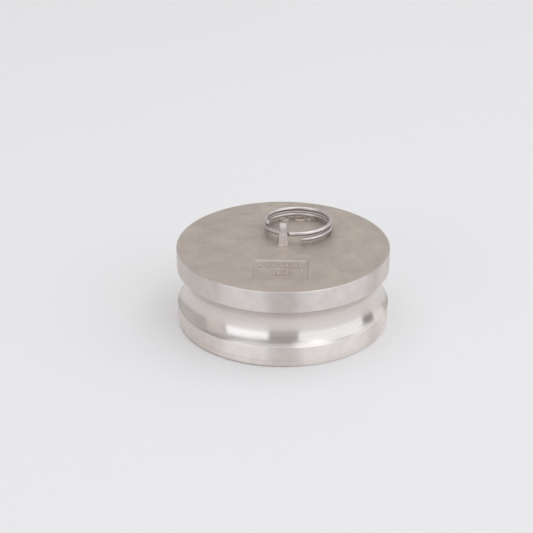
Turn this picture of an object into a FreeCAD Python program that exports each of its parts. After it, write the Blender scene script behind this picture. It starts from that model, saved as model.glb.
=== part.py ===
"""Cam and groove pipe plug, nominal bore 100 mm, with its split ring.

Millimetres, +Z up. The origin is the centre of the nose's end face, which the plug stands on.
plug_body is one stainless casting, turned outside: a closed cup with a seating groove round it
and a pierced ear on its closed end. split_ring is the open coil of wire threaded through the ear.
"""
import FreeCAD
import Part

import math
import os

V = FreeCAD.Vector

# Turned outside
OUTSIDE_D = 119.5       # nose and closed end are turned to one diameter
NOSE_H = 11.7           # cylinder below the groove, the part that meets the coupler's gasket
GROOVE_W = 21.5
FLANGE_H = 12.1         # cylinder above the groove
GROOVE_DEPTH = 5.2      # one round groove, that the coupler's cam arms press into
LEAD_IN_H = 4.0         # slow taper at the end of the nose
LEAD_IN_R = 0.5
EDGE_ROUND = 0.4        # edges of the groove, broken by hand
NOSE_EDGE_ROUND = 0.8
TOP_EDGE_ROUND = 0.6

# Cast inside
GROOVE_WALL = 4.1       # thinnest wall, at the bottom of the groove
TOP_T = 7.0
BORE_DRAFT_DEG = 1.0
BORE_CORNER_R = 6.0
MOUTH_CHAMFER = 1.0

# Ear on the closed end, thin across X
EAR_Y = 4.2             # centre of the ear and of its hole
EAR_HOLE_D = 7.4
EAR_WALL = 1.9          # metal round the hole
EAR_SILL = 1.7          # metal between the closed top and the hole
EAR_FOOT_T = 5.1        # across X at the foot
EAR_DRAFT_DEG = 2.0
EAR_EDGE_ROUND = 0.45
EAR_FOOT_ROUND = 0.35
HOLE_EDGE_ROUND = 0.3

# Shallow cast panels on the closed top, placed from its rim
PANEL_CORNER_R = 1.2
NEAR_PANEL_DEPTH = 0.7
NEAR_PANEL_W = 29.0
NEAR_PANEL_L = 24.0
NEAR_PANEL_X = -1.5
NEAR_PANEL_RIM = 15.3
NEAR_PANEL_TURN_DEG = -2.0   # its pattern plate sat a little askew
FAR_PANEL_DEPTH = 0.5
FAR_PANEL_W = 31.0
FAR_PANEL_L = 24.0
FAR_PANEL_X = 3.1
FAR_PANEL_RIM = 5.5
FAR_PANEL_TURN_DEG = 0.0

# Split ring, an open coil of round wire that lies back behind the ear
WIRE_D = 2.4
RING_MEAN_D = 36.8
COIL_GAP = 1.0
RING_LOW_END_DEG = -86.5   # the lower cut end, in the ring's own circle
RING_SWEEP_DEG = 648.5     # from the lower cut end to the upper one
RING_X = 8.8               # the ring has slid this far to the ear's right
RING_SEAT_DROP = 0.6       # the wire crosses the hole below its centre
RING_ROLL_DEG = 1.5        # the ring's left side lies lower
RING_REST_GAP = 0.15       # left between the wire and the closed top
WIRE_END_ROUND = 0.35

# Worked out from the sizes above
OUTSIDE_R = OUTSIDE_D / 2
GROOVE_LOW = NOSE_H
GROOVE_HIGH = NOSE_H + GROOVE_W
GROOVE_MID = (GROOVE_LOW + GROOVE_HIGH) / 2
GROOVE_R = OUTSIDE_R - GROOVE_DEPTH
HEIGHT = GROOVE_HIGH + FLANGE_H
CAVITY_H = HEIGHT - TOP_T
BORE_SLOPE = math.tan(math.radians(BORE_DRAFT_DEG))
BORE_R = GROOVE_R - GROOVE_WALL + GROOVE_MID * BORE_SLOPE
CAVITY_TOP_R = BORE_R - CAVITY_H * BORE_SLOPE
EAR_R = EAR_HOLE_D / 2 + EAR_WALL
EAR_NEAR = EAR_Y - EAR_R
EAR_FAR = EAR_Y + EAR_R
EAR_HOLE_Z = HEIGHT + EAR_SILL + EAR_HOLE_D / 2
EAR_TOP_Z = EAR_HOLE_Z + EAR_R
RING_R = RING_MEAN_D / 2
COIL_PITCH = WIRE_D + COIL_GAP


def path(points):
    """Straight edges through (radius, height) points."""
    return [Part.makeLine(V(a[0], 0, a[1]), V(b[0], 0, b[1])) for a, b in zip(points, points[1:])]


def revolve(edges):
    return Part.Face(Part.Wire(edges)).revolve(V(0, 0, 0), V(0, 0, 1), 360)


def groove_edges():
    """The groove's arc and the small rounds at its two edges, from the nose up to the flange."""
    half = GROOVE_W / 2
    big = (half ** 2 + GROOVE_DEPTH ** 2) / (2 * GROOVE_DEPTH)
    hub, edge_r = GROOVE_R + big, OUTSIDE_R - EDGE_ROUND
    reach = math.sqrt((big + EDGE_ROUND) ** 2 - (hub - edge_r) ** 2)
    rounds, ends = [], []
    for side in (-1, 1):
        centre = V(edge_r, 0, GROOVE_MID + side * reach)
        out = V(1, 0, 0)
        inward = (V(hub, 0, GROOVE_MID) - centre).normalize()
        between = (out + inward).normalize()
        ends.append(centre + inward * EDGE_ROUND)
        rounds.append(Part.Arc(centre + out * EDGE_ROUND, centre + between * EDGE_ROUND, ends[-1]).toShape())
    bottom = Part.Arc(ends[0], V(GROOVE_R, 0, GROOVE_MID), ends[1]).toShape()
    return [rounds[0], bottom, rounds[1]], GROOVE_MID - reach, GROOVE_MID + reach


def circles_at(shape, radius, z):
    """The full circular edges of a turned shape at one radius and height."""
    found = []
    for edge in shape.Edges:
        curve = edge.Curve
        if isinstance(curve, Part.Circle) and abs(curve.Center.z - z) + abs(curve.Radius - radius) < 1e-4:
            found.append(edge)
    return found


def turned_blank():
    """The outside as one turned profile, from the nose's end face up to the closed top."""
    lead = OUTSIDE_R - LEAD_IN_R
    groove, low, high = groove_edges()
    edges = path([(0, HEIGHT), (0, 0), (lead, 0), (OUTSIDE_R, LEAD_IN_H), (OUTSIDE_R, low)])
    edges += groove + path([(OUTSIDE_R, high), (OUTSIDE_R, HEIGHT), (0, HEIGHT)])
    blank = revolve(edges)
    blank = blank.makeFillet(NOSE_EDGE_ROUND, circles_at(blank, lead, 0))
    return blank.makeFillet(TOP_EDGE_ROUND, circles_at(blank, OUTSIDE_R, HEIGHT))


def cast_cavity():
    """What the casting's core leaves open: drafted walls, a round corner and a bevelled mouth."""
    under = -1.0
    rim_r = BORE_R + MOUTH_CHAMFER
    bevel_end = (BORE_R - MOUTH_CHAMFER * BORE_SLOPE, MOUTH_CHAMFER)
    core = revolve(path([(0, CAVITY_H), (0, under), (rim_r, under), (rim_r, 0), bevel_end,
                         (CAVITY_TOP_R, CAVITY_H), (0, CAVITY_H)]))
    return core.makeFillet(BORE_CORNER_R, circles_at(core, CAVITY_TOP_R, CAVITY_H))


def ear_half_thickness(z):
    return EAR_FOOT_T / 2 - (z - HEIGHT) * math.tan(math.radians(EAR_DRAFT_DEG))


def ear():
    """The ear: its round-headed side outline, thinned upwards by the mould's draft, then drilled."""
    root = HEIGHT - TOP_T / 4
    over = EAR_TOP_Z + 1
    shoulder_near, shoulder_far = V(0, EAR_NEAR, EAR_HOLE_Z), V(0, EAR_FAR, EAR_HOLE_Z)
    foot_near, foot_far = V(0, EAR_NEAR, root), V(0, EAR_FAR, root)
    head = Part.Arc(shoulder_near, V(0, EAR_Y, EAR_TOP_Z), shoulder_far).toShape()
    outline = Part.Wire([head, Part.makeLine(shoulder_far, foot_far), Part.makeLine(foot_far, foot_near),
                         Part.makeLine(foot_near, shoulder_near)])
    plate = Part.Face(outline).extrude(V(2 * EAR_FOOT_T, 0, 0))
    plate.translate(V(-EAR_FOOT_T, 0, 0))
    low, high, start = ear_half_thickness(root), ear_half_thickness(over), EAR_NEAR - 1
    wedge = Part.Face(Part.makePolygon([V(-low, start, root), V(low, start, root), V(high, start, over),
                                        V(-high, start, over), V(-low, start, root)]))
    body = plate.common(wedge.extrude(V(0, 2 * EAR_R + 2, 0))).Solids[0]
    rim = [e for e in body.Edges if e.BoundBox.ZMax > HEIGHT + 1 and abs(e.CenterOfMass.x) > 0.5]
    body = body.makeFillet(EAR_EDGE_ROUND, rim)
    body = body.cut(Part.makeCylinder(EAR_HOLE_D / 2, 2 * EAR_FOOT_T, V(-EAR_FOOT_T, EAR_Y, EAR_HOLE_Z), V(1, 0, 0)))
    mouths = [e for e in body.Edges if abs(e.BoundBox.YLength - EAR_HOLE_D) < 0.05 and e.BoundBox.XLength < 1]
    return body.makeFillet(HOLE_EDGE_ROUND, mouths)


def panel(x, near, width, length, depth, turn):
    """A shallow pocket with round corners, sunk in the closed top and turned about its middle."""
    pocket = Part.makeBox(width, length, depth + 1, V(x - width / 2, near, HEIGHT - depth))
    pocket = pocket.makeFillet(PANEL_CORNER_R, [e for e in pocket.Edges if e.BoundBox.ZLength > depth])
    pocket.rotate(V(x, near + length / 2, 0), V(0, 0, 1), turn)
    return pocket


def plug_body():
    body = turned_blank().cut(cast_cavity())
    body = body.cut(panel(NEAR_PANEL_X, NEAR_PANEL_RIM - OUTSIDE_R, NEAR_PANEL_W, NEAR_PANEL_L,
                          NEAR_PANEL_DEPTH, NEAR_PANEL_TURN_DEG))
    body = body.cut(panel(FAR_PANEL_X, OUTSIDE_R - FAR_PANEL_RIM - FAR_PANEL_L, FAR_PANEL_W, FAR_PANEL_L,
                          FAR_PANEL_DEPTH, FAR_PANEL_TURN_DEG))
    body = body.fuse(ear())
    foot = []
    for edge in body.Edges:
        middle, box = edge.CenterOfMass, edge.BoundBox
        on_top = abs(box.ZMin - HEIGHT) + abs(box.ZMax - HEIGHT) < 1e-3
        at_ear = abs(middle.x) < EAR_FOOT_T / 2 + 0.1 and EAR_NEAR - 0.1 < middle.y < EAR_FAR + 0.1
        if on_top and at_ear:
            foot.append(edge)
    return body.makeFillet(EAR_FOOT_ROUND, foot).Solids[0]


def coil_point(degrees):
    """The wire's centre at an angle of the ring's own circle, before the ring is laid down."""
    angle = math.radians(degrees)
    return V(RING_R * math.cos(angle), RING_R * math.sin(angle), COIL_PITCH * (degrees - RING_LOW_END_DEG) / 360)


def ring_lie():
    """The turn and shift that lay the ring down: it crosses the hole at its seat, and its far side
    leans down until the wire all but touches the closed top."""
    crossing = coil_point(360 - math.degrees(math.acos(-RING_X / RING_R)))
    seat = V(0, EAR_Y, EAR_HOLE_Z - RING_SEAT_DROP)
    roll = FreeCAD.Rotation(V(0, 1, 0), -RING_ROLL_DEG)
    wanted = HEIGHT + RING_REST_GAP + WIRE_D / 2
    steep, flat = -20.0, 20.0
    for _ in range(40):
        lean = (steep + flat) / 2
        turn = roll.multiply(FreeCAD.Rotation(V(1, 0, 0), lean))
        shift = seat - turn.multVec(crossing)
        lowest = min((shift + turn.multVec(coil_point(RING_LOW_END_DEG + step))).z for step in range(0, 360, 3))
        steep, flat = (lean, flat) if lowest < wanted else (steep, lean)
    return FreeCAD.Placement(shift, turn)


def wire_end(point, outward):
    """The last bit of wire at a cut end, with its sharp edge rubbed off."""
    stub = Part.makeCylinder(WIRE_D / 2, 1.5 * WIRE_END_ROUND, point, outward)
    far = point + outward * (1.5 * WIRE_END_ROUND)
    rim = [e for e in stub.Edges if isinstance(e.Curve, Part.Circle) and e.Curve.Center.distanceToPoint(far) < 1e-6]
    return stub.makeFillet(WIRE_END_ROUND, rim)


def split_ring():
    """Round wire swept along the coil, in equal stretches that follow on from each other."""
    stretches = math.ceil(RING_SWEEP_DEG / 60)
    sweep = RING_SWEEP_DEG / stretches
    rise = COIL_PITCH * sweep / 360
    route = []
    for i in range(stretches):
        stretch = Part.makeHelix(COIL_PITCH, rise, RING_R)
        stretch.rotate(V(0, 0, 0), V(0, 0, 1), RING_LOW_END_DEG + i * sweep)
        stretch.translate(V(0, 0, i * rise))
        route += stretch.Edges
    first, last = route[0], route[-1]
    low, high = first.valueAt(first.FirstParameter), last.valueAt(last.LastParameter)
    backward, onward = first.tangentAt(first.FirstParameter) * -1, last.tangentAt(last.LastParameter)
    section = Part.Wire(Part.makeCircle(WIRE_D / 2, low, backward * -1))
    coil = Part.Wire(route).makePipeShell([section], True, True)
    coil = coil.fuse([wire_end(low, backward), wire_end(high, onward)])
    coil.Placement = ring_lie().multiply(coil.Placement)
    return coil.Solids[0]


os.makedirs("parts", exist_ok=True)
for name, shape in (("plug_body", plug_body()), ("split_ring", split_ring())):
    shape.exportStep("parts/" + name + ".step")
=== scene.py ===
"""The looks of a cam and groove pipe plug: a turned stainless casting with a split ring through its ear.

Metres, +Z up. The plug stands on its nose at the origin, and its closed end is on top.
"""

import bmesh
import bpy
import math
from mathutils import Matrix, Vector


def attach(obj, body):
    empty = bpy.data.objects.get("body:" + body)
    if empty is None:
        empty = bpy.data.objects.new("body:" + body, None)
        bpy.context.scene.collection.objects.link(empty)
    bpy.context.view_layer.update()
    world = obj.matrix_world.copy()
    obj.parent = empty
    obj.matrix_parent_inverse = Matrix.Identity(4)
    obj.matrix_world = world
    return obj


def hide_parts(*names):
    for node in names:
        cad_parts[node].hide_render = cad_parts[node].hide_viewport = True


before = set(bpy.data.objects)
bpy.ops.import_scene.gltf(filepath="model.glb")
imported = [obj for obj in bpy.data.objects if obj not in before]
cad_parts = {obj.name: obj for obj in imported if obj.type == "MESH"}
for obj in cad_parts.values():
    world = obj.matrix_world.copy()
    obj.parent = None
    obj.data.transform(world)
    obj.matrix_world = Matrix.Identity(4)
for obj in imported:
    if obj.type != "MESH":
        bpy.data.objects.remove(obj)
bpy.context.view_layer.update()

MM = 0.001
MM_PER_M = 1000.0

# The casting
OUTSIDE_R = 119.5 * MM / 2
NOSE_H = 11.7 * MM
GROOVE_W = 21.5 * MM
FLANGE_H = 12.1 * MM
GROOVE_DEPTH = 5.2 * MM
LEAD_IN_H = 4.0 * MM
LEAD_IN_R = 0.5 * MM
EDGE_ROUND = 0.4 * MM
NOSE_EDGE_ROUND = 0.8 * MM
TOP_EDGE_ROUND = 0.6 * MM
HEIGHT = NOSE_H + GROOVE_W + FLANGE_H
GROOVE_MID = NOSE_H + GROOVE_W / 2
GROOVE_R = OUTSIDE_R - GROOVE_DEPTH
GROOVE_ARC_R = ((GROOVE_W / 2) ** 2 + GROOVE_DEPTH ** 2) / (2 * GROOVE_DEPTH)
GROOVE_ARC_X = GROOVE_R + GROOVE_ARC_R
GROOVE_WALL = 4.1 * MM
TOP_T = 7.0 * MM
BORE_DRAFT_DEG = 1.0
BORE_SLOPE = math.tan(math.radians(BORE_DRAFT_DEG))
BORE_R = GROOVE_R - GROOVE_WALL + GROOVE_MID * BORE_SLOPE
BORE_CORNER_R = 6.0 * MM
MOUTH_CHAMFER = 1.0 * MM
CAVITY_H = HEIGHT - TOP_T
TURNS = 288                   # faces round the casting
EDGE_LOOP = 0.25 * MM         # from a rounded edge to the next loop of vertices, so that flats stay flat
CHAMFER_LOOP = 0.1 * MM       # the same on the chamfer of the mouth

# Vertices, edges and faces
WELD = 0.001 * MM             # vertices closer than this become one
NEAR = 0.01 * MM              # how far off a vertex may lie and still count as on a surface
LOOSE = 0.1 * MM              # the same where nothing else is close by
SHARP = 0.5                   # angle in radians from which an edge counts as sharp
FACING = 0.9                  # part of a normal along an axis from which a face counts as facing that way
FOOT_FACING = 0.2             # the same across the round foot of the ear
SMOOTH_BELOW = math.radians(30)

# The ear, thin across X
EAR_Y = 4.2 * MM
EAR_HOLE_R = 3.7 * MM
EAR_WALL = 1.9 * MM
EAR_SILL = 1.7 * MM
EAR_FOOT_T = 5.1 * MM
EAR_DRAFT = math.radians(2.0)
EAR_EDGE_ROUND = 0.45 * MM
EAR_FOOT_ROUND = 0.35 * MM
HOLE_EDGE_ROUND = 0.3 * MM
EAR_R = EAR_HOLE_R + EAR_WALL
EAR_HOLE_Z = HEIGHT + EAR_SILL + EAR_HOLE_R
EAR_ROOT = HEIGHT - TOP_T / 4  # where the ear ends inside the casting, before both are joined
EAR_SIDES = 96                # faces round the ear's head and its hole

# The two cast panels. Slope is how wide the upper edge is broken.
PANEL_CORNER_R = 1.2 * MM
PANEL_FLOOR_ROUND = 0.15 * MM
NEAR_PANEL = {"middle": Vector((-1.5, -32.45, 0)) * MM, "width": 29.0 * MM, "length": 24.0 * MM,
              "depth": 0.7 * MM, "turn": math.radians(-2), "slope": 0.5 * MM}
FAR_PANEL = {"middle": Vector((3.1, 42.25, 0)) * MM, "width": 31.0 * MM, "length": 24.0 * MM,
             "depth": 0.5 * MM, "turn": 0, "slope": 0.12 * MM}

# The raised marks in the panels
MARK_SINK = 0.05 * MM         # how far a mark reaches into its panel's floor
MARK_RIM = 0.42               # rounding of a mark's upper rim, as a part of its height
NEAR_MARK_H = 0.65 * MM
FAR_MARK_H = 0.5 * MM
BLOCK_GAP = 0.55 * MM
BLOCK_CORNER_R = 0.3 * MM
# For each row in mm: its left end, its place up the panel, its blocks' length and each block's width.
BLOCK_ROWS = (
    (-12.6, 7.4, 4.4, (2.6, 1.1, 1.8, 2.6, 1.1, 1.8, 2.6, 1.1, 2.6, 1.4)),
    (-4.8, -1.9, 5.2, (1.8, 2.6, 1.1, 1.8, 1.1)),
)
# For each round in mm: its place along the panel, its radius and its hollow's radius.
ROUNDS = ((-2.3, 3.2, 2.3), (7.0, 3.2, 2.3), (12.3, 1.9, 1.2))
ROUNDS_Y = -6.2 * MM
ROUND_DEPTH = 0.8             # depth of its hollow, as a part of its height

# The split ring and how it lies
WIRE_R = 1.2 * MM
RING_R = 18.4 * MM
COIL_PITCH = 3.4 * MM
RING_START = math.radians(-86.5)
RING_SWEEP = math.radians(648.5)
RING_ROLL = math.radians(-1.5)
RING_LEAN = math.radians(-3.7381)
RING_PLACE = Vector((8.9055, 20.1229, 46.1878)) * MM
WIRE_END_ROUND = 0.35 * MM
WIRE_SIDES = 40               # faces round the wire
COIL_STEPS = 324              # and along the whole coil
WIRE_SMOOTH_BELOW = math.radians(40)

# Painted shade on the ring, dark under and between its turns. Heights are over the middle of the wire, as
# parts of its radius.
PAINTED_SHADE_COLOUR = (0.09, 0.072, 0.06)
SHADE_TOP = 0.05              # where it starts
SHADE_FULL = -0.4             # where it is full
SHADE_LEAD = math.radians(12)  # turn over which it sets in between two turns
UNDERSIDE_SHADE = 0.55        # how much of it lies under a turn that has no turn below it
SHADE_THIN_TOP = -0.75               # where the painted shade under the lowest turn begins to thin
SHADE_THIN_SHARE = 0.6               # how much of the painted shade is taken off at the lowest line

# The finishes
SCUFF_COLOUR = (0.40, 0.345, 0.31)
SCUFF_STRENGTH = 0.3
# On the closed top: x, y, length and width in mm, and turn in degrees.
SCUFFS = (
    (-31.0, 7.5, 3.6, 2.2, 20),
    (-26.5, -1.0, 4.5, 1.6, 35),
    (-21.0, -6.5, 7.0, 0.9, 3),
    (-34.0, 36.5, 2.6, 3.0, 0),
    (51.1, -25.5, 7.0, 1.6, -52),
    (31.0, -33.5, 2.6, 3.2, 0),
    (-7.0, 54.5, 3.4, 1.6, 8),
)
# On the nose, lines of painted shade: height and half width in mm, strength and colour of the line at its
# taper and of its foot.
NOSE_SHADE_LINES = (
    (3.9, 0.45, 0.35, (0.62, 0.56, 0.53)),
    (0.3, 1.1, 0.38, (0.42, 0.35, 0.31)),
)
SHADE_SIDE_X = 12 * MM         # how far to each side of the middle they fade, from left to right
SHADE_LEFTOVER = 0.15          # the part of their strength that is left at the right
SHADED_CROWN_HEIGHT_MM = 54.2        # the ear's crown, darkened with painted shade
SHADED_CROWN_HALF_MM = 2.3
SATIN_STRETCH = 0.95          # how far a turned face draws a reflection out, across its lines
SATIN_TURN = 0.25             # turns that point this round the axis

# Light, floor and camera, in metres where nothing else is said
FLOOR_SIZE = 12.0
WINDOW_DISTANCE = 2.4
CEILING_HEIGHT = 2.2
# Name, left, right, near and far edge, and radiance.
CEILINGS = (
    ("ceiling", -1.6, 1.6, -0.65, 1.5, 1.15),
    ("ceiling at the right window", 0.35, 1.6, -1.75, -0.65, 1.1),
    ("ceiling at the left window", -1.6, 0.35, -1.75, -0.65, 0.5),
)
DAYLIGHT = (0.935, 0.99, 1.07)
COOL = (0.965, 0.995, 1.04)
PLAIN = (1, 1, 1)
PINKISH = (1.04, 0.96, 0.93)
# Name, start and end in degrees round the plug from the camera's side, lower and upper edge in degrees
# above the middle of the groove, radiance and tint.
WINDOWS = (
    ("left window", -66, -16, 0.5, 34.5, 1.18, DAYLIGHT),
    ("left wall", -93, -68, 0.5, 39, 0.46, PINKISH),
    ("left corner", -115, -93, 0.5, 39, 0.24, PINKISH),
    ("left back wall", -180, -115, 3, 45, 0.29, PLAIN),
    ("front wall", -16, 17, 0.5, 40, 0.19, PLAIN),
    ("right window", 17, 97, 0.5, 49, 0.91, DAYLIGHT),
    ("high right wall", 97, 115, 23, 60, 0.72, PLAIN),
    ("right corner", 114, 135, 0.5, 50, 0.68, PLAIN),
    ("right back wall", 135, 180, 3, 45, 0.34, PLAIN),
)
ROOM_LEVEL = (0.265, 0.265, 0.265)
PICTURE_PX = 533
CAMERA_FOCAL_PX = 1600
CAMERA_PITCH_DEG = 26.102
CAMERA_DISTANCE = 0.90249
CAMERA_AIM_X = -0.009312
CAMERA_AIM_Z = 0.031492


# Working with one piece at a time

def take(piece):
    """Selects one piece and nothing else."""
    bpy.ops.object.select_all(action="DESELECT")
    piece.select_set(True)
    bpy.context.view_layer.objects.active = piece


def open_mesh(piece, kind):
    """Starts work on a piece's edges or faces, with none of them selected."""
    take(piece)
    bpy.ops.object.mode_set(mode="EDIT")
    bpy.ops.mesh.select_mode(type=kind)
    bpy.ops.mesh.select_all(action="DESELECT")


def close_mesh():
    bpy.ops.object.mode_set(mode="OBJECT")


def pick(piece, kind, wanted):
    """Selects the edges or faces that wanted() says yes to, in a mesh that is open."""
    bpy.ops.mesh.select_mode(type=kind)
    bpy.ops.mesh.select_all(action="DESELECT")
    mesh = bmesh.from_edit_mesh(piece.data)
    for item in {"EDGE": mesh.edges, "FACE": mesh.faces}[kind]:
        if wanted(item):
            item.select_set(True)
    bmesh.update_edit_mesh(piece.data)


def apply_place(piece):
    """Makes a piece's place, turn and scale part of its mesh."""
    take(piece)
    bpy.ops.object.transform_apply(location=True, rotation=True, scale=True)


def middle(edge):
    return (edge.verts[0].co + edge.verts[1].co) / 2


def is_upright(edge):
    return abs(edge.verts[0].co.z - edge.verts[1].co.z) > edge.calc_length() / 2


def is_sharp(edge):
    return len(edge.link_faces) == 2 and edge.calc_face_angle(0) > SHARP


def round_edges(piece, width, wanted, segments):
    """Rounds the edges that wanted() picks."""
    open_mesh(piece, "EDGE")
    pick(piece, "EDGE", wanted)
    bpy.ops.mesh.bevel(offset=width, segments=segments, profile=0.5, affect="EDGES", clamp_overlap=False)
    close_mesh()


def combine(piece, other, operation):
    """Cuts another piece out of this one, or joins it on, and takes the other away."""
    cut = piece.modifiers.new(operation.lower(), "BOOLEAN")
    cut.object = other
    cut.operation = operation
    cut.solver = "EXACT"
    take(piece)
    bpy.ops.object.modifier_apply(modifier=cut.name)
    bpy.data.objects.remove(other)


def arc(centre, radius, start, end, steps):
    """Points (radius, height) along an arc, its ends among them. Angles are in degrees."""
    points = []
    for i in range(steps + 1):
        angle = math.radians(start + (end - start) * i / steps)
        points.append((centre[0] + radius * math.cos(angle), centre[1] + radius * math.sin(angle)))
    return points


def lathe(name, outline):
    """Draws an outline of (radius, height) points from one vertex and spins it once round Z."""
    bpy.ops.object.select_all(action="DESELECT")
    bpy.ops.mesh.primitive_plane_add(size=MM, location=(outline[0][0], 0, outline[0][1]))
    piece = bpy.context.object
    piece.name = name
    apply_place(piece)
    bpy.ops.object.mode_set(mode="EDIT")
    bpy.ops.mesh.select_all(action="SELECT")
    bpy.ops.mesh.merge(type="CENTER")
    for here, there in zip(outline, outline[1:]):
        step = (there[0] - here[0], 0, there[1] - here[1])
        bpy.ops.mesh.extrude_vertices_move(TRANSFORM_OT_translate={"value": step})
    bpy.ops.mesh.select_all(action="SELECT")
    bpy.ops.mesh.spin(steps=TURNS, angle=2 * math.pi, center=(0, 0, 0), axis=(0, 0, 1))
    bpy.ops.mesh.select_all(action="SELECT")
    bpy.ops.mesh.remove_doubles(threshold=WELD)
    close_mesh()
    return piece


# The casting

def groove_corner(side):
    """The rounded edge between groove and outside, below (-1) or above (1): its centre and end angle."""
    reach = math.sqrt((GROOVE_ARC_R + EDGE_ROUND) ** 2 - (GROOVE_ARC_X - OUTSIDE_R + EDGE_ROUND) ** 2)
    centre = (OUTSIDE_R - EDGE_ROUND, GROOVE_MID + side * reach)
    toward = math.degrees(math.atan2(GROOVE_MID - centre[1], GROOVE_ARC_X - centre[0]))
    return centre, toward


def band(top, bottom):
    """Points down a straight turned band, closer together near its two edges."""
    first = top - 3 * EDGE_LOOP
    last = bottom + 3 * EDGE_LOOP
    parts = 6
    heights = [top - EDGE_LOOP]
    heights += [first + (last - first) * i / parts for i in range(parts)]
    heights += [last, bottom + EDGE_LOOP]
    return [(OUTSIDE_R, z) for z in heights]


def casting_outline():
    """From the rim of the closed top, down the outside, round the mouth and up the cavity."""
    points = [(OUTSIDE_R - TOP_EDGE_ROUND - EDGE_LOOP, HEIGHT)]
    points += arc((OUTSIDE_R - TOP_EDGE_ROUND, HEIGHT - TOP_EDGE_ROUND), TOP_EDGE_ROUND, 90, 0, steps=10)
    high_corner, high_angle = groove_corner(1)
    low_corner, low_angle = groove_corner(-1)
    points += band(HEIGHT - TOP_EDGE_ROUND, high_corner[1])
    points += arc(high_corner, EDGE_ROUND, 0, high_angle, steps=8)
    start = math.degrees(math.atan2(high_corner[1] - GROOVE_MID, high_corner[0] - GROOVE_ARC_X))
    points += arc((GROOVE_ARC_X, GROOVE_MID), GROOVE_ARC_R, start, 360 - start, steps=72)[1:-1]
    points += arc(low_corner, EDGE_ROUND, low_angle, 0, steps=8)
    points += band(low_corner[1], LEAD_IN_H)
    points += [(OUTSIDE_R, LEAD_IN_H), (OUTSIDE_R - LEAD_IN_R / 2, LEAD_IN_H / 2)]
    taper = math.degrees(math.atan2(LEAD_IN_R, LEAD_IN_H))
    foot = NOSE_EDGE_ROUND * math.tan(math.radians(90 - taper) / 2)
    centre = (OUTSIDE_R - LEAD_IN_R - foot, NOSE_EDGE_ROUND)
    points += arc(centre, NOSE_EDGE_ROUND, -taper, -90, steps=12)
    mouth_r = BORE_R + MOUTH_CHAMFER
    points += [(centre[0] - EDGE_LOOP, 0), (mouth_r + EDGE_LOOP, 0), (mouth_r, 0)]
    bevel_r = BORE_R - MOUTH_CHAMFER * BORE_SLOPE
    points += [(bevel_r + CHAMFER_LOOP, MOUTH_CHAMFER - CHAMFER_LOOP), (bevel_r, MOUTH_CHAMFER)]
    points += [(bevel_r - EDGE_LOOP * BORE_SLOPE, MOUTH_CHAMFER + EDGE_LOOP)]
    ceiling_r = BORE_R - CAVITY_H * BORE_SLOPE
    corner_out = BORE_CORNER_R / math.cos(math.radians(BORE_DRAFT_DEG))
    corner_r = ceiling_r + BORE_CORNER_R * BORE_SLOPE - corner_out
    points += arc((corner_r, CAVITY_H - BORE_CORNER_R), BORE_CORNER_R, BORE_DRAFT_DEG, 90, steps=24)
    points += [(corner_r - EDGE_LOOP, CAVITY_H)]
    return points


def close_ends(piece):
    """Fills the two round holes that the spin leaves: the closed top and the cavity's ceiling."""
    open_mesh(piece, "EDGE")
    for height in (HEIGHT, CAVITY_H):
        pick(piece, "EDGE", lambda e: e.is_boundary and abs(middle(e).z - height) < NEAR)
        bpy.ops.mesh.edge_face_add()
    bpy.ops.mesh.select_all(action="SELECT")
    bpy.ops.mesh.normals_make_consistent(inside=False)
    close_mesh()


def ear_half(z):
    """Half the ear's thickness at one height."""
    return EAR_FOOT_T / 2 - (z - HEIGHT) * math.tan(EAR_DRAFT)


def ear_cylinder(radius, depth):
    """A cylinder across the ear, round the middle of its hole."""
    bpy.ops.object.select_all(action="DESELECT")
    bpy.ops.mesh.primitive_cylinder_add(vertices=EAR_SIDES, radius=radius, depth=depth,
                                        location=(0, EAR_Y, EAR_HOLE_Z), rotation=(0, math.pi / 2, 0))
    piece = bpy.context.object
    apply_place(piece)
    return piece


def on_ear_rim(edge):
    """Says whether an edge lies round one of the ear's two broad sides, above its root."""
    on_side = all(abs(abs(v.co.x) - ear_half(v.co.z)) < NEAR for v in edge.verts)
    return on_side and middle(edge).z > EAR_ROOT + LOOSE


def at_hole_mouth(edge):
    """Says whether an edge lies round the ear's hole, on one of its two broad sides."""
    first, second = (v.co for v in edge.verts)
    on_side = first.x * second.x > 0 and min(abs(first.x), abs(second.x)) > EAR_FOOT_T / 4
    return on_side and all(abs(off_hole(spot) - EAR_HOLE_R) < 2 * NEAR for spot in (first, second))


def off_hole(spot):
    """How far a place is from the line through the middle of the ear's hole."""
    return math.hypot(spot.y - EAR_Y, spot.z - EAR_HOLE_Z)


def ear():
    """A round-headed plate, thinned upwards by its draft, with a hole across it."""
    piece = ear_cylinder(EAR_R, 2 * EAR_FOOT_T)
    piece.name = "ear"
    open_mesh(piece, "FACE")
    bpy.ops.mesh.select_all(action="SELECT")
    bpy.ops.mesh.bisect(plane_co=(0, 0, EAR_HOLE_Z), plane_no=(0, 0, 1), use_fill=True, clear_inner=True)
    pick(piece, "FACE", lambda f: f.normal.z < -FACING)
    bpy.ops.mesh.extrude_region_move(TRANSFORM_OT_translate={"value": (0, 0, EAR_ROOT - EAR_HOLE_Z)})
    for side in (-1, 1):
        bpy.ops.mesh.select_all(action="SELECT")
        bpy.ops.mesh.bisect(plane_co=(side * EAR_FOOT_T / 2, 0, HEIGHT),
                            plane_no=(side * math.cos(EAR_DRAFT), 0, math.sin(EAR_DRAFT)),
                            use_fill=True, clear_outer=True)
    close_mesh()
    round_edges(piece, EAR_EDGE_ROUND, on_ear_rim, segments=5)
    combine(piece, ear_cylinder(EAR_HOLE_R, 3 * EAR_FOOT_T), "DIFFERENCE")
    round_edges(piece, HOLE_EDGE_ROUND, at_hole_mouth, segments=4)
    return piece


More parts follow.
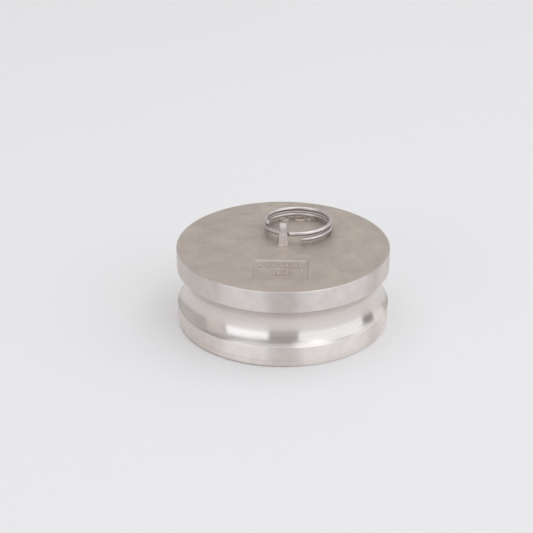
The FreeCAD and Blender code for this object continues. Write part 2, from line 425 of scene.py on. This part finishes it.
def at_ear_foot(edge):
    """Says whether an edge lies where the ear stands on the closed top."""
    spot = middle(edge)
    at_ear = abs(spot.x) < EAR_FOOT_T / 2 + LOOSE and abs(spot.y - EAR_Y) < EAR_R + LOOSE
    return at_ear and is_sharp(edge) and all(abs(v.co.z - HEIGHT) < NEAR for v in edge.verts)


def panel_cutter(panel):
    """A block with round upright corners that sinks one panel into the closed top."""
    tall = 2 * MM
    bpy.ops.object.select_all(action="DESELECT")
    bpy.ops.mesh.primitive_cube_add(size=1)
    block = bpy.context.object
    block.scale = (panel["width"], panel["length"], tall)
    apply_place(block)
    round_edges(block, PANEL_CORNER_R, is_upright, segments=8)
    block.rotation_euler = (0, 0, panel["turn"])
    block.location = panel["middle"] + Vector((0, 0, HEIGHT - panel["depth"] + tall / 2))
    apply_place(block)
    return block


def in_panel(panel, spot):
    """A place on the closed top, seen from the panel's own middle and along its own sides."""
    return Matrix.Rotation(-panel["turn"], 3, "Z") @ (spot - panel["middle"])


def at_panel(panel, height):
    """Gives a test of whether an edge lies on a panel's outline at one height."""
    width, length = panel["width"] / 2, panel["length"] / 2

    def wanted(edge):
        for vert in edge.verts:
            spot = in_panel(panel, vert.co)
            x, y = abs(spot.x), abs(spot.y)
            if abs(spot.z - height) > NEAR or x > width + NEAR or y > length + NEAR:
                return False
            if x < width - PANEL_CORNER_R and y < length - NEAR:
                return False
            if y < length - PANEL_CORNER_R and x < width - NEAR:
                return False
        return is_sharp(edge)
    return wanted


def casting():
    """The whole casting as one closed mesh."""
    piece = lathe("casting", casting_outline())
    close_ends(piece)
    for panel in (NEAR_PANEL, FAR_PANEL):
        combine(piece, panel_cutter(panel), "DIFFERENCE")
        round_edges(piece, panel["slope"], at_panel(panel, HEIGHT), segments=1)
        round_edges(piece, PANEL_FLOOR_ROUND, at_panel(panel, HEIGHT - panel["depth"]), segments=3)
    combine(piece, ear(), "UNION")
    round_edges(piece, EAR_FOOT_ROUND, at_ear_foot, segments=6)
    take(piece)
    bpy.ops.object.shade_smooth_by_angle(angle=SMOOTH_BELOW)
    return piece


# The split ring

def split_ring():
    """A round of wire swept up its coil, closed and rounded at both cut ends, then laid down."""
    rise = math.atan2(COIL_PITCH, 2 * math.pi * RING_R)
    bpy.ops.object.select_all(action="DESELECT")
    bpy.ops.mesh.primitive_circle_add(vertices=WIRE_SIDES, radius=WIRE_R, location=(RING_R, 0, 0),
                                      rotation=(math.pi / 2 + rise, 0, 0))
    piece = bpy.context.object
    piece.name = "ring"
    apply_place(piece)
    piece.rotation_euler = (0, 0, RING_START)
    apply_place(piece)
    coil = piece.modifiers.new("coil", "SCREW")
    coil.axis = "Z"
    coil.angle = RING_SWEEP
    coil.screw_offset = COIL_PITCH * RING_SWEEP / (2 * math.pi)
    coil.steps = COIL_STEPS
    coil.render_steps = COIL_STEPS
    bpy.ops.object.modifier_apply(modifier=coil.name)
    for end in (0, 1):
        close_wire(piece, end)
    take(piece)
    bpy.ops.object.mode_set(mode="EDIT")
    bpy.ops.mesh.select_all(action="SELECT")
    bpy.ops.mesh.normals_make_consistent(inside=False)
    close_mesh()
    bpy.ops.object.shade_smooth_by_angle(angle=WIRE_SMOOTH_BELOW)
    paint_ring_shade(piece)
    for turn in (Matrix.Rotation(RING_LEAN, 4, "X"), Matrix.Rotation(RING_ROLL, 4, "Y"),
                 Matrix.Translation(RING_PLACE)):
        piece.matrix_world = turn
        apply_place(piece)
    return piece


def paint_ring_shade(piece):
    """Keeps on each vertex how much painted shade it gets, before the coil is laid down.

    There is most where a turn faces the turn below it, and less under the lowest turn.
    """
    painted_shade = piece.data.attributes.new("painted_shade", "FLOAT", "POINT")
    full_turn = 2 * math.pi
    for vert, held in zip(piece.data.vertices, painted_shade.data):
        angle = (math.atan2(vert.co.y, vert.co.x) - RING_START) % full_turn
        turns_below = round(vert.co.z / COIL_PITCH - angle / full_turn)
        along = angle + full_turn * turns_below
        height = (vert.co.z - COIL_PITCH * along / full_turn) / WIRE_R
        covered = min(max((along - full_turn) / SHADE_LEAD, 0), 1)
        thinning = SHADE_THIN_SHARE * min(max((SHADE_THIN_TOP - height) / (1 + SHADE_THIN_TOP), 0), 1)
        bare = UNDERSIDE_SHADE * (1 - thinning)
        deep = min(max((SHADE_TOP - height) / (SHADE_TOP - SHADE_FULL), 0), 1)
        held.value = deep * (bare + (1 - bare) * covered)


def close_wire(piece, end):
    """Fills one cut end of the wire and rounds its rim."""
    angle = RING_START + end * RING_SWEEP
    rise = end * COIL_PITCH * RING_SWEEP / (2 * math.pi)
    centre = Vector((RING_R * math.cos(angle), RING_R * math.sin(angle), rise))

    def at_end(edge):
        return all((v.co - centre).length < WIRE_R + NEAR for v in edge.verts)

    def on_rim(edge):
        return at_end(edge) and any(len(f.verts) > 4 for f in edge.link_faces)

    open_mesh(piece, "EDGE")
    pick(piece, "EDGE", lambda e: e.is_boundary and at_end(e))
    bpy.ops.mesh.edge_face_add()
    close_mesh()
    round_edges(piece, WIRE_END_ROUND, on_rim, segments=5)


# Cast marks

def raised_block(width, length, height):
    """A small raised block with round corners, made at the origin."""
    bpy.ops.object.select_all(action="DESELECT")
    bpy.ops.mesh.primitive_cube_add(size=1, location=(0, 0, height / 2))
    block = bpy.context.object
    block.scale = (width, length, height)
    apply_place(block)
    round_edges(block, BLOCK_CORNER_R, is_upright, segments=5)
    soften_rim(block, height)
    return block


def raised_round(radius, bore, height):
    """A small raised round with a hollow middle, made at the origin by inset and extrude."""
    bpy.ops.object.select_all(action="DESELECT")
    bpy.ops.mesh.primitive_cylinder_add(vertices=48, radius=radius, depth=height,
                                        location=(0, 0, height / 2))
    pip = bpy.context.object
    apply_place(pip)
    open_mesh(pip, "FACE")
    pick(pip, "FACE", lambda f: f.normal.z > FACING)
    bpy.ops.mesh.inset(thickness=radius - bore)
    bpy.ops.mesh.extrude_region_move(TRANSFORM_OT_translate={"value": (0, 0, -ROUND_DEPTH * height)})
    close_mesh()
    soften_rim(pip, height)
    return pip


def soften_rim(piece, height):
    """Rounds the upper edges of a mark."""
    def on_rim(edge):
        return is_sharp(edge) and all(v.co.z > height - NEAR for v in edge.verts)

    round_edges(piece, MARK_RIM * height, on_rim, segments=4)


def copy_to(piece, place):
    """Puts a copy of a piece somewhere else."""
    copy = piece.copy()
    copy.data = piece.data.copy()
    bpy.context.scene.collection.objects.link(copy)
    copy.location = place
    apply_place(copy)
    return copy


def join(name, pieces):
    """Makes one smooth-shaded piece of several."""
    bpy.ops.object.select_all(action="DESELECT")
    for piece in pieces:
        piece.select_set(True)
    bpy.context.view_layer.objects.active = pieces[0]
    bpy.ops.object.join()
    joined = bpy.context.object
    joined.name = name
    take(joined)
    bpy.ops.object.shade_smooth_by_angle(angle=SMOOTH_BELOW)
    return joined


def on_floor(panel, x, y):
    """Where a mark stands, from its distances off the panel's middle."""
    spot = Matrix.Rotation(panel["turn"], 3, "Z") @ Vector((x, y, 0))
    return panel["middle"] + spot + Vector((0, 0, HEIGHT - panel["depth"] - MARK_SINK))


def near_marks():
    """Two rows of plain raised blocks, wide and narrow, in the near panel."""
    marks = []
    for start, y, length, widths in BLOCK_ROWS:
        kinds = {}
        for width in sorted(set(widths)):
            kinds[width] = raised_block(width * MM, length * MM, NEAR_MARK_H)
        x = start * MM
        for width in widths:
            marks.append(copy_to(kinds[width], on_floor(NEAR_PANEL, x + width * MM / 2, y * MM)))
            x += width * MM + BLOCK_GAP
        for block in kinds.values():
            bpy.data.objects.remove(block)
    return join("near_panel_marks", marks)


def far_marks():
    """Plain raised rounds in the far panel."""
    rounds = []
    for x, radius, bore in ROUNDS:
        pip = raised_round(radius * MM, bore * MM, FAR_MARK_H)
        pip.location = on_floor(FAR_PANEL, x * MM, ROUNDS_Y)
        apply_place(pip)
        rounds.append(pip)
    return join("far_panel_marks", rounds)


# Finishes

def group(name, inputs, outputs):
    """A new shader node group with float inputs (name, default) and float outputs."""
    made = bpy.data.node_groups.new(name, "ShaderNodeTree")
    for socket, value in inputs:
        entry = made.interface.new_socket(name=socket, in_out="INPUT", socket_type="NodeSocketFloat")
        entry.default_value = value
    for socket in outputs:
        made.interface.new_socket(name=socket, in_out="OUTPUT", socket_type="NodeSocketFloat")
    return made, made.nodes.new("NodeGroupInput"), made.nodes.new("NodeGroupOutput")


def node(tree, kind, values=None, links=None, **settings):
    """Adds a node, sets its options and socket values, and links outputs to its sockets."""
    new = tree.nodes.new(kind)
    for name, value in settings.items():
        setattr(new, name, value)
    for socket, value in (values or {}).items():
        new.inputs[socket].default_value = value
    for socket, output in (links or {}).items():
        tree.links.new(output, new.inputs[socket])
    return new


def maths(tree, operation, *terms):
    """Arithmetic on outputs and plain numbers."""
    new = node(tree, "ShaderNodeMath", operation=operation)
    for socket, term in enumerate(terms):
        if isinstance(term, float):
            new.inputs[socket].default_value = term
        else:
            tree.links.new(term, new.inputs[socket])
    return new.outputs[0]


def place_of(tree):
    """Where a point lies on its piece, in metres."""
    return node(tree, "ShaderNodeTexCoord").outputs["Object"]


def turned_lines():
    """Fine lines that run round the turning axis, from a pattern of radius and height alone."""
    tree, inside, outside = group("turned lines", [("Lines per mm", 4.0)], ["Height", "Tone"])
    parts = node(tree, "ShaderNodeSeparateXYZ", links={0: place_of(tree)})
    flat = node(tree, "ShaderNodeCombineXYZ", links={0: parts.outputs[0], 1: parts.outputs[1]})
    radius = node(tree, "ShaderNodeVectorMath", operation="LENGTH", links={0: flat.outputs[0]})
    section = node(tree, "ShaderNodeCombineXYZ", links={0: radius.outputs["Value"], 1: parts.outputs[2]})
    scale = maths(tree, "MULTIPLY", inside.outputs[0], MM_PER_M)
    fine = node(tree, "ShaderNodeTexNoise", {"Detail": 3.0, "Roughness": 0.7},
                {"Vector": section.outputs[0], "Scale": scale}, noise_dimensions="2D")
    slow = node(tree, "ShaderNodeTexNoise", {"Scale": 700.0, "Detail": 1.0},
                {"Vector": section.outputs[0]}, noise_dimensions="2D")
    tree.links.new(fine.outputs["Fac"], outside.inputs["Height"])
    tree.links.new(slow.outputs["Fac"], outside.inputs["Tone"])
    return tree


def cast_skin():
    """The skin that a mould leaves, blasted clean: grain, broad stains and patches that differ in hue."""
    tree, inside, outside = group("cast skin", [("Grains per mm", 1.6)], ["Grain", "Stain", "Hue"])
    place = place_of(tree)
    fine = node(tree, "ShaderNodeTexNoise", {"Detail": 4.0, "Roughness": 0.65},
                {"Vector": place, "Scale": maths(tree, "MULTIPLY", inside.outputs[0], MM_PER_M)})
    broad = node(tree, "ShaderNodeTexNoise",
                 {"Scale": 85.0, "Detail": 6.0, "Roughness": 0.72, "Distortion": 0.3}, {"Vector": place})
    tinted = node(tree, "ShaderNodeTexNoise",
                  {"Scale": 105.0, "Detail": 3.0, "Roughness": 0.7, "Distortion": 0.8}, {"Vector": place})
    tree.links.new(fine.outputs["Fac"], outside.inputs["Grain"])
    tree.links.new(broad.outputs["Fac"], outside.inputs["Stain"])
    tree.links.new(tinted.outputs["Fac"], outside.inputs["Hue"])
    return tree


def scuff():
    """One dull, ragged scuff on the closed top, longest along its turn."""
    inputs = [("X mm", 0.0), ("Y mm", 0.0), ("Length mm", 5.0), ("Width mm", 2.0), ("Turn", 0.0)]
    tree, inside, outside = group("scuff", inputs, ["Mask"])
    place = place_of(tree)
    in_mm = node(tree, "ShaderNodeVectorMath", {1: (MM_PER_M, MM_PER_M, 0.0)}, {0: place},
                 operation="MULTIPLY")
    spot = node(tree, "ShaderNodeCombineXYZ",
                links={0: inside.outputs["X mm"], 1: inside.outputs["Y mm"]})
    off = node(tree, "ShaderNodeVectorMath", links={0: in_mm.outputs[0], 1: spot.outputs[0]},
               operation="SUBTRACT")
    turned = node(tree, "ShaderNodeVectorRotate", rotation_type="Z_AXIS",
                  links={"Vector": off.outputs[0], "Angle": inside.outputs["Turn"]})
    reach = node(tree, "ShaderNodeCombineXYZ", {2: 1.0},
                 {0: inside.outputs["Length mm"], 1: inside.outputs["Width mm"]})
    shape = node(tree, "ShaderNodeVectorMath", links={0: turned.outputs[0], 1: reach.outputs[0]},
                 operation="DIVIDE")
    far = node(tree, "ShaderNodeVectorMath", links={0: shape.outputs[0]}, operation="LENGTH")
    ragged = node(tree, "ShaderNodeTexNoise", {"Scale": 500.0, "Detail": 3.0, "Roughness": 0.7},
                  {"Vector": place})
    edge = maths(tree, "ADD", far.outputs["Value"], ragged.outputs["Fac"])
    mask = node(tree, "ShaderNodeMapRange", {"From Min": 1.15, "From Max": 0.55}, {0: edge})
    tree.links.new(mask.outputs[0], outside.inputs["Mask"])
    return tree


def height_line():
    """A line round the plug at one height, soft at both edges."""
    tree, inside, outside = group("height line", [("Height mm", 4.0), ("Half width mm", 0.3)], ["Mask"])
    parts = node(tree, "ShaderNodeSeparateXYZ", links={0: place_of(tree)})
    in_mm = maths(tree, "MULTIPLY", parts.outputs[2], MM_PER_M)
    off = maths(tree, "ABSOLUTE", maths(tree, "SUBTRACT", in_mm, inside.outputs[0]))
    share = maths(tree, "DIVIDE", off, inside.outputs[1])
    mask = node(tree, "ShaderNodeMapRange", {"From Min": 1.0, "From Max": 0.4}, {0: share})
    tree.links.new(mask.outputs[0], outside.inputs["Mask"])
    return tree


def handling():
    """Light scuffs and rubbed patches from years of use."""
    tree, inside, outside = group("handling", [("Amount", 1.0)], ["Rub"])
    rub = node(tree, "ShaderNodeTexNoise", {"Scale": 140.0, "Detail": 4.0, "Roughness": 0.6},
               {"Vector": place_of(tree)})
    wear_and_shade = node(tree, "ShaderNodeMapRange", {"From Min": 0.42, "From Max": 0.68}, {0: rub.outputs["Fac"]})
    total = maths(tree, "MULTIPLY", wear_and_shade.outputs[0], inside.outputs[0])
    tree.links.new(total, outside.inputs["Rub"])
    return tree


def belt_streaks():
    """Streaks that a grinding belt leaves along the ear's edge, even along Y and Z."""
    tree, inside, outside = group("belt streaks", [("Streaks per mm", 1.6)], ["Tone"])
    along = node(tree, "ShaderNodeVectorMath", {1: (1.0, 0.03, 0.03)}, {0: place_of(tree)},
                 operation="MULTIPLY")
    scale = maths(tree, "MULTIPLY", inside.outputs[0], MM_PER_M)
    streak = node(tree, "ShaderNodeTexNoise", {"Detail": 3.0, "Roughness": 0.6},
                  {"Vector": along.outputs[0], "Scale": scale})
    tree.links.new(streak.outputs["Fac"], outside.inputs["Tone"])
    return tree


GROUPS = {"lines": turned_lines(), "skin": cast_skin(), "handling": handling(), "streaks": belt_streaks(),
          "scuff": scuff(), "height": height_line()}


def material(name):
    """A new metal: the material, its node tree and its shader."""
    made = bpy.data.materials.new(name)
    made.use_nodes = True
    tree = made.node_tree
    shader = tree.nodes["Principled BSDF"]
    shader.inputs["Metallic"].default_value = 1.0
    return made, tree, shader


def effect(tree, key, **values):
    """Puts one of the groups in a material. Underscores stand for the spaces in its inputs' names."""
    placed = node(tree, "ShaderNodeGroup", node_tree=GROUPS[key])
    for socket, value in values.items():
        placed.inputs[socket.replace("_", " ")].default_value = value
    return placed


def blend(tree, mask, low, high, dark, light):
    """A colour that goes from dark to light as a mask goes from low to high."""
    ramp = node(tree, "ShaderNodeValToRGB", links={0: mask})
    ramp.color_ramp.elements[0].position = low
    ramp.color_ramp.elements[1].position = high
    ramp.color_ramp.elements[0].color = (*dark, 1)
    ramp.color_ramp.elements[1].color = (*light, 1)
    return ramp.outputs["Color"]


def spread(tree, mask, low, high):
    """A value that goes from low to high as a mask goes from 0.3 to 0.7."""
    ranged = node(tree, "ShaderNodeMapRange",
                  {"From Min": 0.3, "From Max": 0.7, "To Min": low, "To Max": high}, {0: mask})
    return ranged.outputs[0]


def mix(tree, mask, strength, first, second):
    """A colour that goes from the first to the second as a mask times a strength goes from 0 to 1."""
    both = node(tree, "ShaderNodeMix", data_type="RGBA")
    tree.links.new(maths(tree, "MULTIPLY", mask, strength), both.inputs["Factor"])
    for socket, colour in ((6, first), (7, second)):
        if isinstance(colour, tuple):
            both.inputs[socket].default_value = (*colour, 1)
        else:
            tree.links.new(colour, both.inputs[socket])
    return both.outputs[2]


def relief(tree, shader, height, depth, strength):
    """Fine relief that only bends the light."""
    bump = node(tree, "ShaderNodeBump", {"Distance": depth, "Strength": strength}, {"Height": height})
    tree.links.new(bump.outputs["Normal"], shader.inputs["Normal"])


def cast_top():
    """The closed end, its panels and the ear: blasted casting, matt, a little stained and scuffed."""
    made, tree, shader = material("cast steel")
    skin = effect(tree, "skin", Grains_per_mm=0.75)
    warm = blend(tree, skin.outputs["Stain"], 0.3, 0.7, (0.565, 0.48, 0.435), (0.685, 0.595, 0.545))
    olive = blend(tree, skin.outputs["Stain"], 0.3, 0.7, (0.57, 0.505, 0.435), (0.69, 0.615, 0.535))
    hue = node(tree, "ShaderNodeMapRange", {"From Min": 0.4, "From Max": 0.6}, {0: skin.outputs["Hue"]})
    colour = mix(tree, hue.outputs[0], 1.0, warm, olive)
    for x, y, length, width, turn in SCUFFS:
        mark = effect(tree, "scuff", X_mm=x, Y_mm=y, Length_mm=length, Width_mm=width,
                      Turn=math.radians(-turn))
        colour = mix(tree, mark.outputs["Mask"], SCUFF_STRENGTH, colour, SCUFF_COLOUR)
    tree.links.new(colour, shader.inputs["Base Color"])
    tree.links.new(spread(tree, skin.outputs["Hue"], 0.46, 0.53), shader.inputs["Roughness"])
    relief(tree, shader, skin.outputs["Grain"], 0.12 * MM, 0.8)
    return made


def rubbed_marks(name, dark, light):
    """Raised marks, in the colours that they were rubbed to."""
    made, tree, shader = material(name)
    skin = effect(tree, "skin", Grains_per_mm=1.2)
    colour = blend(tree, skin.outputs["Grain"], 0.3, 0.7, dark, light)
    tree.links.new(colour, shader.inputs["Base Color"])
    tree.links.new(spread(tree, skin.outputs["Grain"], 0.40, 0.48), shader.inputs["Roughness"])
    relief(tree, shader, skin.outputs["Grain"], 0.04 * MM, 0.5)
    return made


def draw_out(shader):
    """Draws reflections out across the lines that run round the axis."""
    shader.inputs["Anisotropic"].default_value = SATIN_STRETCH
    shader.inputs["Anisotropic Rotation"].default_value = SATIN_TURN


def turned_band(name, dark, light):
    """Turned satin steel: the material, its tree and shader, and its colour for what lies on it."""
    made, tree, shader = material(name)
    lines = effect(tree, "lines", Lines_per_mm=1.2)
    rub = effect(tree, "handling", Amount=1.0)
    colour = blend(tree, rub.outputs["Rub"], 0.0, 1.0, dark, light)
    tree.links.new(spread(tree, rub.outputs["Rub"], 0.40, 0.43), shader.inputs["Roughness"])
    draw_out(shader)
    relief(tree, shader, lines.outputs["Height"], 0.002 * MM, 0.5)
    return made, tree, shader, colour


def turned_flange():
    """The band above the groove."""
    made, tree, shader, colour = turned_band("turned flange", (0.735, 0.67, 0.63), (0.815, 0.76, 0.72))
    tree.links.new(colour, shader.inputs["Base Color"])
    return made


def turned_nose():
    """The nose and its end face, lighter than the flange as painted light, with painted shade lines that
    are strongest on the left side.
    """
    # Lighter colours than the flange's: painted light that makes up for the shade and lost light near the
    # floor.
    made, tree, shader, colour = turned_band("turned nose", (0.87, 0.80, 0.755), (0.945, 0.885, 0.84))
    parts = node(tree, "ShaderNodeSeparateXYZ", links={0: place_of(tree)})
    left = node(tree, "ShaderNodeMapRange",
                {"From Min": SHADE_SIDE_X, "From Max": -SHADE_SIDE_X, "To Min": SHADE_LEFTOVER},
                {0: parts.outputs[0]})
    # Painted shade along the taper's crease and along the foot, strongest on the left.
    for height, half_width, strength, shade_tone in NOSE_SHADE_LINES:
        line = effect(tree, "height", Height_mm=height, Half_width_mm=half_width)
        wear_and_shade = maths(tree, "MULTIPLY", line.outputs["Mask"], left.outputs[0])
        colour = mix(tree, wear_and_shade, strength, colour, shade_tone)
    tree.links.new(colour, shader.inputs["Base Color"])
    return made


def polished_groove():
    """The groove that the cam arms run in, turned and then polished."""
    made, tree, shader = material("polished groove")
    lines = effect(tree, "lines", Lines_per_mm=1.0)
    colour = blend(tree, lines.outputs["Tone"], 0.3, 0.7, (0.745, 0.69, 0.65), (0.785, 0.735, 0.695))
    tree.links.new(colour, shader.inputs["Base Color"])
    tree.links.new(spread(tree, lines.outputs["Tone"], 0.20, 0.225), shader.inputs["Roughness"])
    draw_out(shader)
    relief(tree, shader, lines.outputs["Height"], 0.001 * MM, 0.5)
    return made


def cast_inside():
    """The cavity, left as cast."""
    made, tree, shader = material("cast inside")
    skin = effect(tree, "skin", Grains_per_mm=0.9)
    colour = blend(tree, skin.outputs["Stain"], 0.3, 0.7, (0.47, 0.42, 0.38), (0.58, 0.53, 0.49))
    tree.links.new(colour, shader.inputs["Base Color"])
    tree.links.new(spread(tree, skin.outputs["Stain"], 0.5, 0.62), shader.inputs["Roughness"])
    relief(tree, shader, skin.outputs["Grain"], 0.15 * MM, 0.8)
    return made


def bright_wire():
    """Drawn spring wire, bright, with faint scuffs, and painted shade between and under its turns."""
    made, tree, shader = material("bright wire")
    rub = effect(tree, "handling", Amount=1.0)
    colour = blend(tree, rub.outputs["Rub"], 0.0, 1.0, (0.73, 0.665, 0.645), (0.62, 0.56, 0.545))
    # Painted shade under and between the turns, read from the values the wire's vertices keep.
    painted_shade = node(tree, "ShaderNodeAttribute", attribute_name="painted_shade")
    colour = mix(tree, painted_shade.outputs["Fac"], 1.0, colour, PAINTED_SHADE_COLOUR)
    tree.links.new(colour, shader.inputs["Base Color"])
    tree.links.new(spread(tree, rub.outputs["Rub"], 0.28, 0.33), shader.inputs["Roughness"])
    return made


def sheared_wire():
    """The wire's two cut faces: torn grey steel, duller than the drawn outside, and lighter than the wire
    as a painted highlight.
    """
    made, tree, shader = material("sheared wire")
    skin = effect(tree, "skin", Grains_per_mm=4.0)
    # Lighter than the wire's own steel: a painted highlight on the cut faces.
    colour = blend(tree, skin.outputs["Grain"], 0.35, 0.65, (0.86, 0.83, 0.82), (0.97, 0.94, 0.93))
    tree.links.new(colour, shader.inputs["Base Color"])
    tree.links.new(spread(tree, skin.outputs["Grain"], 0.42, 0.5), shader.inputs["Roughness"])
    return made


def ground_ear():
    """The ear's narrow edge, ground along its length, and darker on the crown with painted shade."""
    made, tree, shader = material("ground ear")
    streaks = effect(tree, "streaks", Streaks_per_mm=1.3)
    crown = effect(tree, "height", Height_mm=SHADED_CROWN_HEIGHT_MM, Half_width_mm=SHADED_CROWN_HALF_MM)
    bright = blend(tree, streaks.outputs["Tone"], 0.35, 0.65, (0.66, 0.60, 0.575), (0.94, 0.86, 0.835))
    shade_tone = blend(tree, streaks.outputs["Tone"], 0.35, 0.65, (0.44, 0.40, 0.37), (0.66, 0.615, 0.59))
    # Painted shade on the crown, where the face tilts up towards the light.
    tree.links.new(mix(tree, crown.outputs["Mask"], 1.0, bright, shade_tone), shader.inputs["Base Color"])
    tree.links.new(spread(tree, streaks.outputs["Tone"], 0.6, 0.68), shader.inputs["Roughness"])
    relief(tree, shader, streaks.outputs["Tone"], 0.03 * MM, 0.6)
    return made


def pale_floor():
    """A pale, nearly matt surface to stand on."""
    made, tree, shader = material("pale floor")
    shader.inputs["Metallic"].default_value = 0.0
    shader.inputs["Base Color"].default_value = (0.89, 0.873, 0.867, 1)
    shader.inputs["Roughness"].default_value = 0.42
    shader.inputs["Specular IOR Level"].default_value = 0.25
    return made


def paint(piece, finishes):
    """Gives each face the first finish whose test it passes. The last finish takes what is left."""
    for finish, _ in finishes:
        piece.data.materials.append(finish)
    for face in piece.data.polygons:
        radius = math.hypot(face.center.x, face.center.y)
        for number, (_, wanted) in enumerate(finishes):
            if wanted(face, radius, face.center.z):
                face.material_index = number
                break


def on_ear_edge(face, height):
    """Says whether a face lies on the ear's ground edge, or on the round foot below it."""
    across = FACING if height > HEIGHT + EAR_FOOT_ROUND + NEAR else FOOT_FACING
    out_of_hole = off_hole(face.center) >= EAR_HOLE_R + 2 * HOLE_EDGE_ROUND
    return height > HEIGHT + NEAR and abs(face.normal.x) < across and out_of_hole


def finish_casting(piece):
    """Gives each part of the casting its finish. The tests get a face, its radius and its height."""
    low = groove_corner(-1)[0][1]
    high = groove_corner(1)[0][1]
    paint(piece, [
        (ground_ear(), lambda f, r, z: on_ear_edge(f, z)),
        (cast_top(), lambda f, r, z: z > CAVITY_H + NEAR and r < OUTSIDE_R - TOP_EDGE_ROUND),
        (polished_groove(), lambda f, r, z: low < z < high and GROOVE_R - NEAR < r < OUTSIDE_R),
        (cast_inside(), lambda f, r, z: r < BORE_R + NEAR),
        (turned_flange(), lambda f, r, z: z > GROOVE_MID),
        (turned_nose(), lambda f, r, z: True),
    ])


def finish_ring(piece):
    """Bright wire, with its two cut faces left as they were sheared and lighter as a painted highlight.
    """
    piece.data.materials.append(bright_wire())
    piece.data.materials.append(sheared_wire())
    for face in piece.data.polygons:
        if len(face.vertices) > 4:
            face.material_index = 1


# Light, floor and camera

def floor():
    """A wide plane under the plug, and no part of it."""
    bpy.ops.object.select_all(action="DESELECT")
    bpy.ops.mesh.primitive_plane_add(size=FLOOR_SIZE, location=(0, 0, 0))
    piece = bpy.context.object
    piece.name = "floor"
    piece.data.materials.append(pale_floor())


def soft_lamp(name, width, height, radiance, tint):
    """A rectangle that gives even, soft light, made at the origin and facing down."""
    light = bpy.data.lights.new(name, "AREA")
    light.shape = "RECTANGLE"
    light.size = width
    light.size_y = height
    light.energy = radiance * math.pi * width * height
    light.color = tint
    lamp = bpy.data.objects.new(name, light)
    bpy.context.scene.collection.objects.link(lamp)
    return lamp


def window(name, start, end, low, high, radiance, tint):
    """An upright soft lamp that faces the plug."""
    middle_turn = math.radians((start + end) / 2)
    half = math.radians((end - start) / 2)
    sill = WINDOW_DISTANCE * math.tan(math.radians(low))
    lintel = WINDOW_DISTANCE * math.tan(math.radians(high))
    lamp = soft_lamp(name, 2 * WINDOW_DISTANCE * math.tan(half), lintel - sill, radiance, tint)
    away = Vector((math.sin(middle_turn), -math.cos(middle_turn), 0))
    lamp.location = away * WINDOW_DISTANCE + Vector((0, 0, GROOVE_MID + (sill + lintel) / 2))
    lamp.rotation_euler = (math.pi / 2, 0, middle_turn)


def ceiling(name, left, right, near, far, radiance):
    """A soft lamp that lies flat above the plug."""
    lamp = soft_lamp(name, right - left, far - near, radiance, COOL)
    lamp.location = ((left + right) / 2, (near + far) / 2, CEILING_HEIGHT)


def surroundings(level):
    """The even light of the room, between the lamps."""
    world = bpy.data.worlds.new("studio")
    world.use_nodes = True
    world.node_tree.nodes["Background"].inputs["Color"].default_value = (*level, 1)
    bpy.context.scene.world = world


def camera():
    """The camera, level from side to side and pitched down at the plug."""
    data = bpy.data.cameras.new("camera")
    data.lens = CAMERA_FOCAL_PX * data.sensor_width / PICTURE_PX
    made = bpy.data.objects.new("camera", data)
    bpy.context.scene.collection.objects.link(made)
    pitch = math.radians(CAMERA_PITCH_DEG)
    rise = CAMERA_DISTANCE * math.sin(pitch)
    made.location = (CAMERA_AIM_X, -CAMERA_DISTANCE * math.cos(pitch), CAMERA_AIM_Z + rise)
    made.rotation_euler = (math.pi / 2 - pitch, 0, 0)
    bpy.context.scene.camera = made


# The whole scene

body = casting()
finish_casting(body)
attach(body, "plug")
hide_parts("plug_body")
steel = body.data.materials["cast steel"]
near_finish = rubbed_marks("rubbed near marks", (0.58, 0.50, 0.45), (0.71, 0.635, 0.575))
far_finish = rubbed_marks("rubbed far marks", (0.76, 0.68, 0.60), (0.92, 0.84, 0.76))
for marks, finish in ((near_marks(), near_finish), (far_marks(), far_finish)):
    marks.data.materials.append(finish)
    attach(marks, "plug")
ring = split_ring()
finish_ring(ring)
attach(ring, "ring")
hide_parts("split_ring")
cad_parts["plug_body"].data.materials.clear()
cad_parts["plug_body"].data.materials.append(steel)
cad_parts["split_ring"].data.materials.clear()
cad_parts["split_ring"].data.materials.append(ring.data.materials[0])

floor()
surroundings(ROOM_LEVEL)
for placed in CEILINGS:
    ceiling(*placed)
for placed in WINDOWS:
    window(*placed)
camera()
bpy.context.scene.view_settings.view_transform = "Standard"
